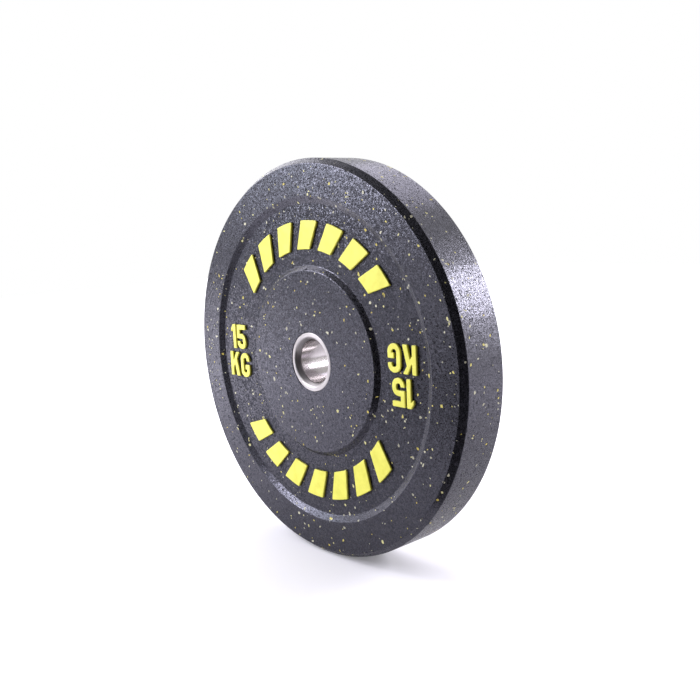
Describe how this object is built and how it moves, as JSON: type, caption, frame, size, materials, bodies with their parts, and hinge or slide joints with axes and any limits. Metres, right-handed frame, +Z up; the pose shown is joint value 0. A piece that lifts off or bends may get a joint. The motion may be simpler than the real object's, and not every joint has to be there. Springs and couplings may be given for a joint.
{
  "type": "bumper plate",
  "caption": "Round crumb rubber weight plate with bevelled tread edges, a recessed band of raised yellow marks and a steel hub for a barbell sleeve.",
  "frame": {"origin": "centre of the bore, at half the thickness of the plate", "axes": "+Y along the bore from the front face to the back face, +Z up through the middle of the upper arc of bars as the plate stands on its tread, +X to the right as seen from the front"},
  "size_m": [0.45, 0.065, 0.45],
  "materials": {
    "crumb_rubber": "moulded crumb rubber with sparse yellow flecks",
    "satin_steel": "satin, turned",
    "rolled_steel": "as rolled",
    "yellow_rubber": "smooth moulded coloured rubber"
  },
  "bodies": {
    "root": {"rubber_body": "crumb_rubber", "hub_sleeve": "satin_steel", "hub_anchor_flange": "rolled_steel", "front_upper_bar_1": "yellow_rubber", "front_upper_bar_2": "yellow_rubber", "front_upper_bar_3": "yellow_rubber", "front_upper_bar_4": "yellow_rubber", "front_upper_bar_5": "yellow_rubber", "front_upper_bar_6": "yellow_rubber", "front_upper_bar_7": "yellow_rubber", "front_lower_bar_1": "yellow_rubber", "front_lower_bar_2": "yellow_rubber", "front_lower_bar_3": "yellow_rubber", "front_lower_bar_4": "yellow_rubber", "front_lower_bar_5": "yellow_rubber", "front_lower_bar_6": "yellow_rubber", "front_lower_bar_7": "yellow_rubber", "front_left_figure_1": "yellow_rubber", "front_left_figure_5": "yellow_rubber", "front_left_letter_k": "yellow_rubber", "front_left_letter_g": "yellow_rubber", "front_right_figure_1": "yellow_rubber", "front_right_figure_5": "yellow_rubber", "front_right_letter_k": "yellow_rubber", "front_right_letter_g": "yellow_rubber", "back_upper_bar_1": "yellow_rubber", "back_upper_bar_2": "yellow_rubber", "back_upper_bar_3": "yellow_rubber", "back_upper_bar_4": "yellow_rubber", "back_upper_bar_5": "yellow_rubber", "back_upper_bar_6": "yellow_rubber", "back_upper_bar_7": "yellow_rubber", "back_lower_bar_1": "yellow_rubber", "back_lower_bar_2": "yellow_rubber", "back_lower_bar_3": "yellow_rubber", "back_lower_bar_4": "yellow_rubber", "back_lower_bar_5": "yellow_rubber", "back_lower_bar_6": "yellow_rubber", "back_lower_bar_7": "yellow_rubber", "back_left_figure_1": "yellow_rubber", "back_left_figure_5": "yellow_rubber", "back_left_letter_k": "yellow_rubber", "back_left_letter_g": "yellow_rubber", "back_right_figure_1": "yellow_rubber", "back_right_figure_5": "yellow_rubber", "back_right_letter_k": "yellow_rubber", "back_right_letter_g": "yellow_rubber"}
  },
  "joints": []
}
